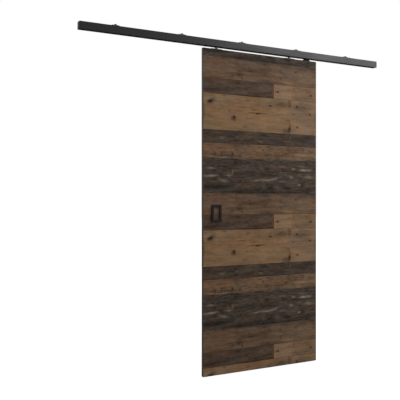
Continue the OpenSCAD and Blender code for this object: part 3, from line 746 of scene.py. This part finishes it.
@dataclass
class Bench:
    """Mesh work on one piece at a time, with the operators that a modeller uses by hand."""

    materials: dict[str, Material]
    flat_angle: float = 0.4
    turned_scale: float = 1.01
    chamfer_share: float = 0.09
    chamfer_scale: float = 0.84

    def claim(self, piece: Piece) -> None:
        """Makes a piece the only one selected, and the active one.

        Args:
            piece: The piece.
        """
        bpy.ops.object.select_all(action="DESELECT")
        piece.select_set(True)
        bpy.context.view_layer.objects.active = piece

    def settle(self, name: str) -> Piece:
        """Names a new primitive and puts its place into its mesh.

        Args:
            name: Name of the piece.

        Returns:
            The piece.
        """
        piece = bpy.context.object
        piece.name = name
        bpy.ops.object.transform_apply(location=True, rotation=True, scale=True)
        return piece

    def block(self, name: str, low: Point, high: Point) -> Piece:
        """Starts a piece from a cube.

        Args:
            name: Name of the piece.
            low: Lowest corner.
            high: Highest corner.

        Returns:
            The piece.
        """
        bpy.ops.object.select_all(action="DESELECT")
        bpy.ops.mesh.primitive_cube_add(size=1.0, location=(Vector(low) + Vector(high)) / 2)
        bpy.context.object.scale = Vector(high) - Vector(low)
        return self.settle(name)

    def bar(self, name: str, foot: Point, length: float, radius: float, sides: int = 48) -> Piece:
        """Starts a piece from an upright cylinder or, with six sides, a hexagon with corners along X.

        Args:
            name: Name of the piece.
            foot: Middle of its lower end.
            length: Its height.
            radius: Distance of its corners from its axis.
            sides: Number of sides.

        Returns:
            The piece.
        """
        bpy.ops.object.select_all(action="DESELECT")
        middle = Vector(foot) + Vector((0, 0, length / 2))
        bpy.ops.mesh.primitive_cylinder_add(vertices=sides, radius=radius, depth=length, location=middle,
                                            rotation=(0, 0, math.pi / 6))
        return self.settle(name)

    def copy_node(self, node: str) -> Piece:
        """Starts a piece from a merged copy of a CAD node.

        Args:
            node: Name of the node.

        Returns:
            The piece.
        """
        piece = bpy.data.objects.new(f"eased_{node}", frame["nodes"][node].data.copy())
        bpy.context.scene.collection.objects.link(piece)
        with self.picked(piece, lambda *face: True):
            bpy.ops.mesh.remove_doubles(threshold=MERGE)
            bpy.ops.mesh.dissolve_limited(angle_limit=math.radians(self.flat_angle))
        return piece

    @contextmanager
    def picked(self, piece: Piece, test: Test, edges: bool = False) -> Iterator[None]:
        """Opens a piece in edit mode with some faces or edges selected, for the work under it.

        Args:
            piece: The piece.
            test: Tells from a face's normal and middle, or an edge's two ends, if it is selected.
            edges: Whether edges are picked instead of faces.
        """
        self.claim(piece)
        mesh = piece.data
        bpy.context.tool_settings.mesh_select_mode = (False, edges, not edges)
        for group in (mesh.vertices, mesh.edges, mesh.polygons):
            group.foreach_set("select", [False] * len(group))
        if edges:
            ends = [[mesh.vertices[index].co for index in edge.vertices] for edge in mesh.edges]
            mesh.edges.foreach_set("select", [test(start, end) for start, end in ends])
        else:
            mesh.polygons.foreach_set("select", [test(face.normal, face.center) for face in mesh.polygons])
        bpy.ops.object.mode_set(mode="EDIT")
        yield
        bpy.ops.object.mode_set(mode="OBJECT")

    @staticmethod
    def end_at(level: float) -> Test:
        """Makes the test that picks a bar's end face at a height."""
        return lambda normal, middle: abs(normal.z) > FACING and abs(middle.z - level) < TOUCH

    def draw_in(self, piece: Piece, level: float, inset: float) -> None:
        """Narrows a bar's end face into a chamfer or a step of a dome.

        Args:
            piece: The upright bar.
            level: Height of the end face.
            inset: Scale of the face about its middle.
        """
        low, high = [[pick(vertex.co[axis] for vertex in piece.data.vertices) for axis in range(2)]
                     for pick in (min, max)]
        middle = ((low[0] + high[0]) / 2, (low[1] + high[1]) / 2, level)
        with self.picked(piece, self.end_at(level)):
            bpy.ops.transform.resize(value=(inset, inset, 1.0), center_override=middle)

    def raise_end(self, piece: Piece, level: float, rise: float) -> None:
        """Extrudes a bar's upper end face further up.

        Args:
            piece: The upright bar.
            level: Height of the end face.
            rise: How far to extrude it.
        """
        with self.picked(piece, self.end_at(level)):
            bpy.ops.mesh.extrude_region_move(TRANSFORM_OT_translate={"value": (0, 0, rise)})

    def slice(self, piece: Piece, point: Point, normal: Point) -> None:
        """Cuts new edges round a piece where a plane meets it.

        Args:
            piece: The piece.
            point: A point on the plane.
            normal: Its normal.
        """
        with self.picked(piece, lambda *face: True):
            bpy.ops.mesh.bisect(plane_co=point, plane_no=normal)

    def combine(self, piece: Piece, tool: Piece, way: Join) -> None:
        """Unites a piece with a second one, or cuts it, and uses the second one up.

        Args:
            piece: The piece that stays.
            tool: The one that is used up.
            way: How they are put together.
        """
        modifier = piece.modifiers.new("joint", "BOOLEAN")
        modifier.operation = way.value
        modifier.object = tool
        self.claim(piece)
        bpy.ops.object.modifier_apply(modifier=modifier.name)
        bpy.data.objects.remove(tool)

    def ease(self, piece: Piece, width: float, segments: int = 2, angle: float = 35.0) -> None:
        """Rounds a piece's sharp edges and shades it smooth.

        Args:
            piece: The piece.
            width: Width of the rounding.
            segments: Faces across it.
            angle: Edges sharper than this, in degrees, are rounded.
        """
        modifier = piece.modifiers.new("eased edges", "BEVEL")
        modifier.width = width
        modifier.segments = segments
        modifier.limit_method = "ANGLE"
        modifier.angle_limit = math.radians(angle)
        self.claim(piece)
        bpy.ops.object.modifier_apply(modifier=modifier.name)
        bpy.ops.object.shade_smooth_by_angle(angle=math.radians(angle))

    def hexagon(self, name: str, foot: Point, height: float, flats: float) -> Piece:
        """Makes a spanner hexagon with turned chamfers on both ends.

        Args:
            name: Name of the piece.
            foot: Middle of its lower face.
            height: Its height.
            flats: Width across its flats.

        Returns:
            The hexagon.
        """
        corner = flats / math.sqrt(3)
        piece = self.bar(name, foot, height, corner, 6)
        turned = self.bar("turned", foot, height, self.turned_scale * corner)
        chamfer = self.chamfer_share * corner
        for level, end in ((foot[2] + chamfer, foot[2]), (foot[2] + height - chamfer, foot[2] + height)):
            self.slice(turned, (foot[0], foot[1], level), (0, 0, 1))
            self.draw_in(turned, end, self.chamfer_scale)
        self.combine(piece, turned, Join.SHARE)
        return piece

    def fit(self, piece: Piece, node: str) -> None:
        """Hands a finished piece its finish and its body, in the place of a node.

        Args:
            piece: The piece.
            node: The node that it stands for.
        """
        slot = next(part["material_slot"] for part in frame["record"]["subparts"] if part["node"] == node)
        bodies = frame["record"]["behaviour"]["bodies"]
        body = next(name for name, nodes in bodies.items() if node in nodes)
        piece.data.materials.clear()
        piece.data.materials.append(self.materials[slot])
        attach(piece, body)
        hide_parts(node)
        LOG.info("%s rides on %s in %s, %d faces", piece.name, body, slot, len(piece.data.polygons))


@dataclass
class PullPair:
    """The two open pulls, back to back on the leaf; sizes in metres."""

    bar: float = 0.015
    corner: float = 0.005
    inner_corner: float = 0.0025
    corner_steps: int = 6
    undercut_side: float = 0.005
    undercut_height: float = 0.0045
    edge: float = 0.0008

    def build(self, bench: Bench) -> None:
        """Builds both pulls and fits them.

        Args:
            bench: Where they are made.
        """
        leaf_low, leaf_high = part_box("door_leaf")
        for node, face in (("pull_front", leaf_low.y), ("pull_rear", leaf_high.y)):
            bench.fit(self.make_frame(bench, node, face), node)

    def make_frame(self, bench: Bench, node: str, face: float) -> Piece:
        """Makes one pull: a flat ring with round corners, hollowed behind its upright bars.

        Args:
            bench: Where it is made.
            node: The node that gives its box.
            face: Place of the leaf's face along Y.

        Returns:
            The pull.
        """
        low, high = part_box(node)
        piece = bench.block(f"{node}_ring", low, high)
        with bench.picked(piece, lambda normal, middle: abs(normal.y) > FACING):
            bpy.ops.mesh.inset(thickness=self.bar, use_individual=True)
            bpy.ops.mesh.bridge_edge_loops()
        for radius, inside in ((self.corner, False), (self.inner_corner, True)):
            def corner(start: Vector, end: Vector) -> bool:
                """Finds the edges through the ring at its outer or its inner corners."""
                aside = min(start.x - low.x, high.x - start.x)
                return abs(end.y - start.y) > TOUCH and inside == (aside > self.bar / 2)

            with bench.picked(piece, corner, edges=True):
                bpy.ops.mesh.bevel(offset=radius, segments=self.corner_steps, affect="EDGES")
        outward = -1 if face > (low.y + high.y) / 2 else 1
        depth = sorted((face - OVERLAP * outward, face + self.undercut_height * outward))
        reach, shoulder = self.bar - self.undercut_side, self.bar + self.edge
        tool = bench.block("undercut", (low.x + reach, depth[0], low.z + shoulder),
                           (high.x - reach, depth[1], high.z - shoulder))
        bench.combine(piece, tool, Join.CUT)
        bench.ease(piece, self.edge, 3)
        return piece


@dataclass
class HangerSet:
    """One hanger: plate on the leaf, bolt with a spanner collar and lock nut; sizes in metres."""

    side: str
    flats: float = 0.019
    collar_height: float = 0.005
    nut_space: float = 0.0005
    nut_play: float = 0.00005
    bolt_radius: float = 0.005
    tip_height: float = 0.0015
    tip_scale: float = 0.75
    head_radius: float = 0.008
    head_height: float = 0.008
    socket_flats: float = 0.008
    socket_depth: float = 0.0053
    edge: float = 0.0003

    def build(self, bench: Bench) -> None:
        """Builds the plate, the nut and the bolt and fits them.

        Args:
            bench: Where they are made.
        """
        low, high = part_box(f"lock_nut_{self.side}")
        foot = Vector(((low.x + high.x) / 2, (low.y + high.y) / 2, low.z))
        plate = bench.copy_node(f"hanger_plate_{self.side}")
        bench.ease(plate, self.edge)
        bench.fit(plate, f"hanger_plate_{self.side}")
        bench.fit(self.make_nut(bench, foot, high.z - low.z), f"lock_nut_{self.side}")
        bench.fit(self.make_bolt(bench, foot, high.z + self.nut_space), f"hanger_bolt_{self.side}")

    def make_nut(self, bench: Bench, foot: Vector, height: float) -> Piece:
        """Makes the lock nut.

        Args:
            bench: Where it is made.
            foot: Middle of its lower face.
            height: Its height.

        Returns:
            The nut.
        """
        nut = bench.hexagon(f"chamfered_nut_{self.side}", foot, height, self.flats)
        start = foot - Vector((0, 0, OVERLAP))
        bore = bench.bar("bore", start, height + 2 * OVERLAP, self.bolt_radius + self.nut_play)
        bench.combine(nut, bore, Join.CUT)
        bench.ease(nut, self.edge)
        return nut

    def make_bolt(self, bench: Bench, foot: Vector, collar_foot: float) -> Piece:
        """Makes the bolt: round head with a socket, shank and hexagon collar.

        Args:
            bench: Where it is made.
            foot: A point on its axis.
            collar_foot: Height of the collar's lower face.

        Returns:
            The bolt.
        """
        low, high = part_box(f"hanger_bolt_{self.side}")
        seat = high.z - self.head_height
        bolt = bench.hexagon(f"collar_bolt_{self.side}", (foot.x, foot.y, collar_foot),
                             self.collar_height, self.flats)
        shank = bench.bar("shank", (foot.x, foot.y, low.z), seat - low.z + OVERLAP, self.bolt_radius)
        bench.slice(shank, (foot.x, foot.y, low.z + self.tip_height), (0, 0, 1))
        bench.draw_in(shank, low.z, self.tip_scale)
        head = bench.bar("head", (foot.x, foot.y, seat), self.head_height, self.head_radius)
        socket = bench.bar("socket", (foot.x, foot.y, high.z - self.socket_depth),
                           self.socket_depth + OVERLAP, self.socket_flats / math.sqrt(3), 6)
        bench.combine(bolt, shank, Join.UNITE)
        bench.combine(bolt, head, Join.UNITE)
        bench.combine(bolt, socket, Join.CUT)
        bench.ease(bolt, self.edge)
        return bolt


def wall_brackets() -> tuple[str, ...]:
    """Names the nodes of the wall brackets, from left to right."""
    return tuple(sorted(node for node in frame["nodes"] if node.startswith("wall_bracket_")))


@dataclass
class TrackFixings:
    """Domed socket screws through the wall brackets; sizes in metres."""

    head_radius: float = 0.00525
    head_height: float = 0.0033
    rim_height: float = 0.0012
    top_radius: float = 0.0034
    shank_radius: float = 0.003
    socket_flats: float = 0.004
    socket_depth: float = 0.0022
    dome_steps: int = 4
    edge: float = 0.0002

    def build(self, bench: Bench) -> None:
        """Makes one screw, copies it to each bracket and fits them as one piece.

        Args:
            bench: Where they are made.
        """
        low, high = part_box("bracket_screws")
        middles = [sum(corner.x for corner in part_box(node)) / 2 for node in wall_brackets()]
        screws = self.make_screw(bench, (middles[0], (low.y + high.y) / 2, low.z), high.z)
        with bench.picked(screws, lambda *face: True):
            for last, middle in zip(middles, middles[1:]):
                bpy.ops.mesh.duplicate_move(TRANSFORM_OT_translate={"value": (middle - last, 0, 0)})
        bench.fit(screws, "bracket_screws")

    def make_screw(self, bench: Bench, foot: Point, top: float) -> Piece:
        """Makes one screw.

        Args:
            bench: Where it is made.
            foot: Middle of the shank's end.
            top: Height of the head's top.

        Returns:
            The screw.
        """
        x, y, end = foot
        seat = top - self.head_height
        screw = bench.bar("domed_screws", (x, y, seat), self.rim_height, self.head_radius)
        level, radius = seat + self.rim_height, self.head_radius
        for step in range(self.dome_steps):
            turn = math.radians(90) * (step + 1) / self.dome_steps
            rise = seat + self.rim_height + (self.head_height - self.rim_height) * math.sin(turn) - level
            next_radius = self.top_radius + (self.head_radius - self.top_radius) * math.cos(turn)
            bench.raise_end(screw, level, rise)
            level += rise
            bench.draw_in(screw, level, next_radius / radius)
            radius = next_radius
        shank = bench.bar("shank", foot, seat - end + OVERLAP / 2, self.shank_radius)
        bench.combine(screw, shank, Join.UNITE)
        socket = bench.bar("socket", (x, y, top - self.socket_depth), self.socket_depth + OVERLAP,
                           self.socket_flats / math.sqrt(3), 6)
        bench.combine(screw, socket, Join.CUT)
        bench.ease(screw, self.edge)
        return screw


@dataclass
class EasedSet:
    """Pieces whose solids are right, with their sharp edges rounded as the real ones are."""

    nodes: tuple[str, ...]
    edge: float
    segments: int = 2

    def build(self, bench: Bench) -> None:
        """Eases each piece and fits it.

        Args:
            bench: Where they are made.
        """
        for node in self.nodes:
            piece = bench.copy_node(node)
            bench.ease(piece, self.edge, self.segments)
            bench.fit(piece, node)


@dataclass(frozen=True)
class Lamp:
    """One soft light: its place, the point that it faces, its size and its strength."""

    name: str
    place: tuple[float, float, float]
    target: tuple[float, float, float]
    size: tuple[float, float]
    watts: float


@dataclass
class Studio:
    """Floor, lights, white surround and camera."""

    leaf_left: float
    leaf_front: float
    leaf_bottom: float
    floor_gap: float = 0.01
    floor_size: float = 60.0
    floor_tones: tuple[float, float] = (0.42, 0.44)
    floor_fade: tuple[float, float] = (3.2, 4.6)
    floor_cloud: float = 0.6
    floor_rough: float = 0.85
    ambient: float = 0.3
    floor_glow: float = 0.8
    lens_px: float = 643.57
    frame_px: float = 400.0
    shift_px: float = 0.4
    sensor: float = 36.0
    view_angle: float = math.radians(28.63)
    view_offset: tuple[float, float, float] = (-1.91812, -3.47383, 1.09108)
    lamps: tuple[Lamp, ...] = (
        Lamp("right softbox", (3.0, -2.6, 1.0), (0.4, 0.0, -0.6), (2.6, 1.1), 120.0),
        Lamp("front fill", (-1.4, -5.0, 0.4), (0.0, 0.0, -1.0), (3.0, 3.0), 42.0),
        Lamp("top panel", (0.0, -1.6, 2.4), (0.0, 0.0, -1.0), (3.6, 1.6), 22.0),
        Lamp("rear fill", (-1.2, 4.4, 1.2), (0.0, 0.0, -0.9), (4.0, 3.0), 95.0),
    )

    def build(self) -> None:
        """Sets up the whole studio."""
        self.set_floor()
        self.set_world()
        for lamp in self.lamps:
            self.set_lamp(lamp)
        self.set_camera()
        bpy.context.scene.view_settings.view_transform = "Standard"

    def set_floor(self) -> None:
        """Lays a pale floor that fades to the white surround, and is clear when seen from below."""
        bpy.ops.object.select_all(action="DESELECT")
        level = self.leaf_bottom - self.floor_gap
        bpy.ops.mesh.primitive_plane_add(size=self.floor_size, location=(0, 0, level))
        floor = bpy.context.object
        floor.name = "studio_floor"
        bpy.ops.object.transform_apply(location=True, rotation=True, scale=True)
        board = FinishBoard("pale floor")
        away = board.vector_maths("LENGTH", board.place)
        far = board.span(away, *self.floor_fade, self.floor_glow, 1.0)
        glow = board.add("ShaderNodeEmission", {"Strength": board.maths("MULTIPLY", far, board.seen())})[0]
        lit = board.add("ShaderNodeAddShader", (board.shader.outputs[0], glow))[0]
        side = board.add("ShaderNodeNewGeometry")["Backfacing"]
        below = board.maths("MULTIPLY", board.add("ShaderNodeLightPath")["Is Camera Ray"], side)
        clear = board.add("ShaderNodeBsdfTransparent")[0]
        surface = board.add("ShaderNodeMixShader", (below, lit, clear))[0]
        board.feed(board.tree.nodes["Material Output"], {"Surface": surface})
        cloud = board.noise(board.place, self.floor_cloud, 2.0)[0]
        tones = [(tone, tone, tone, 1.0) for tone in self.floor_tones]
        board.finish(board.mix(cloud, *tones), self.floor_rough, cloud, depth=0.0)
        floor.data.materials.append(board.material)

    def set_world(self) -> None:
        """Surrounds the door with white that the camera, gloss and glass see at full strength."""
        world = bpy.data.worlds.new("white surround")
        bpy.context.scene.world = world
        world.use_nodes = True
        board = NodeBoard(world.node_tree)
        values = {"Value": board.seen(), "To Min": self.ambient, "To Max": 1.0}
        strength = board.add("ShaderNodeMapRange", values)[0]
        board.feed(board.tree.nodes["Background"], {"Color": (1.0, 1.0, 1.0, 1.0), "Strength": strength})

    def set_lamp(self, lamp: Lamp) -> None:
        """Hangs one area light.

        Args:
            lamp: The light to hang.
        """
        data = bpy.data.lights.new(lamp.name, "AREA")
        data.shape = "RECTANGLE"
        data.size, data.size_y = lamp.size
        data.energy = lamp.watts
        light = bpy.data.objects.new(lamp.name, data)
        light.location = lamp.place
        aim = Vector(lamp.target) - Vector(lamp.place)
        light.rotation_euler = aim.to_track_quat("-Z", "Y").to_euler()
        bpy.context.scene.collection.objects.link(light)

    def set_camera(self) -> None:
        """Stands the camera at the photograph's place, level and turned to the right."""
        data = bpy.data.cameras.new("photo view")
        data.sensor_width = self.sensor
        data.lens = self.sensor * self.lens_px / self.frame_px
        data.shift_y = self.shift_px / self.frame_px
        camera = bpy.data.objects.new("photo view", data)
        corner = Vector((self.leaf_left, self.leaf_front, self.leaf_bottom))
        camera.location = corner + Vector(self.view_offset)
        camera.rotation_euler = (math.pi / 2, 0.0, -self.view_angle)
        bpy.context.scene.collection.objects.link(camera)
        bpy.context.scene.camera = camera


def dress_nodes(materials: dict[str, Material]) -> None:
    """Gives each node its slot's finish.

    Args:
        materials: The materials by slot name.
    """
    for part in frame["record"]["subparts"]:
        mesh = frame["nodes"][part["node"]].data
        mesh.materials.clear()
        mesh.materials.append(materials[part["material_slot"]])
        LOG.info("%s is dressed in %s", part["node"], part["material_slot"])


def main() -> None:
    """Dresses the door and sets up the studio."""
    logging.basicConfig(level=logging.INFO, format="%(message)s")
    leaf_low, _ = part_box("door_leaf")
    left_low, left_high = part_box("edge_band_left")
    materials = Finishes(left_low.x, left_high.z).build()
    dress_nodes(materials)
    bench = Bench(materials)
    sets = [PullPair(), HangerSet("left"), HangerSet("right"), TrackFixings(),
            EasedSet(wall_brackets(), edge=0.0005),
            EasedSet(("end_cap_left", "end_cap_right"), edge=0.0005, segments=3),
            EasedSet(("trolley_body_left", "trolley_body_right"), edge=0.0004),
            EasedSet(("anti_jump_block",), edge=0.0006, segments=3)]
    for assembly in sets:
        assembly.build(bench)
    Studio(left_low.x, leaf_low.y, left_low.z).build()


if __name__ == "__main__":
    main()
